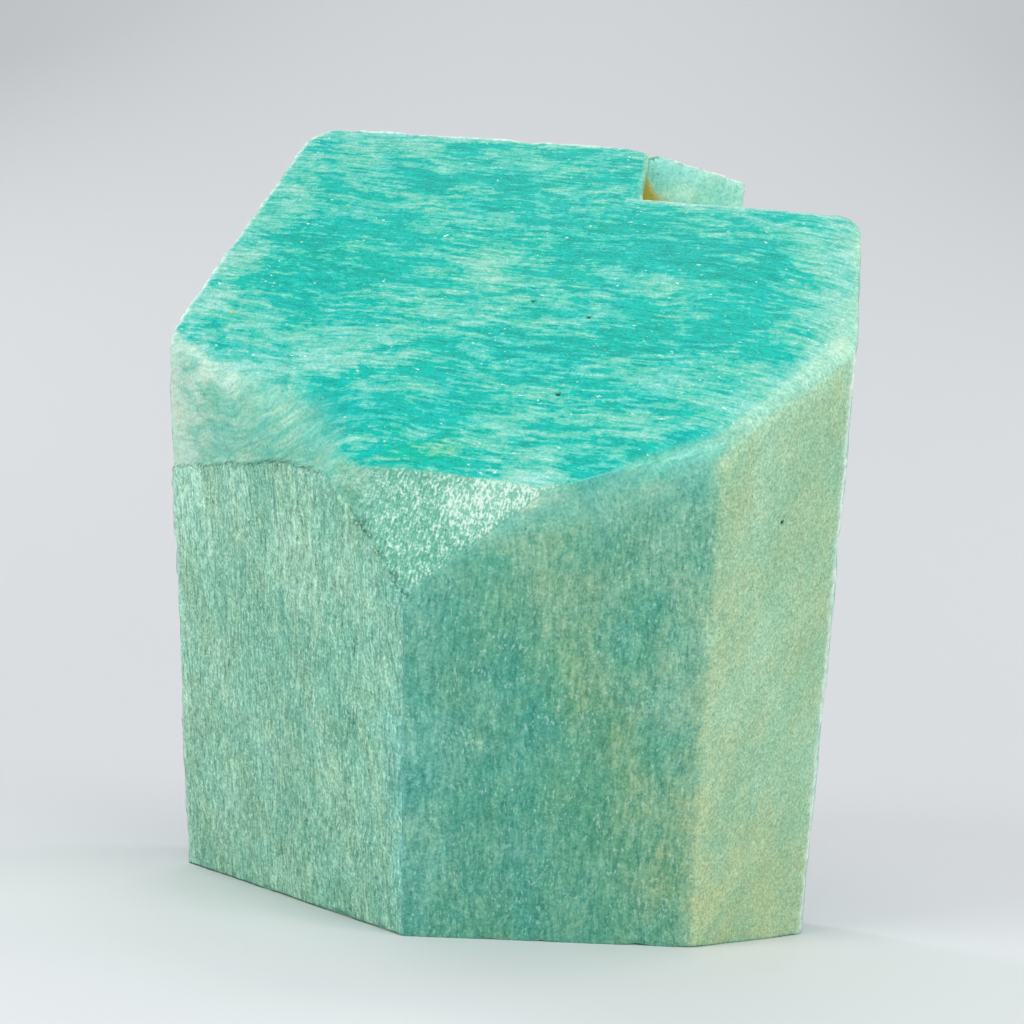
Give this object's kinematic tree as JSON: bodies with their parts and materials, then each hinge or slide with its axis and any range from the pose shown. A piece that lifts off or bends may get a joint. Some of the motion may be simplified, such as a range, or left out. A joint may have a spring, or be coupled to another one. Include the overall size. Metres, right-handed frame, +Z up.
{
  "type": "rough amazonite crystal",
  "caption": "Blocky green microcline crystal with a sloping top face, flat prism sides, a stepped notch at the ridge and a broken base to rest on.",
  "frame": {"origin": "on the resting face, under the middle of the crystal", "axes": "+Z up from the resting face, the sloping top face and the small triangular face look towards -Y, +X to the right of that view"},
  "size_m": [0.0501, 0.048, 0.0587],
  "materials": {
    "amazonite": "natural satin crystal faces"
  },
  "bodies": {
    "root": {"crystal": "amazonite"}
  },
  "joints": []
}
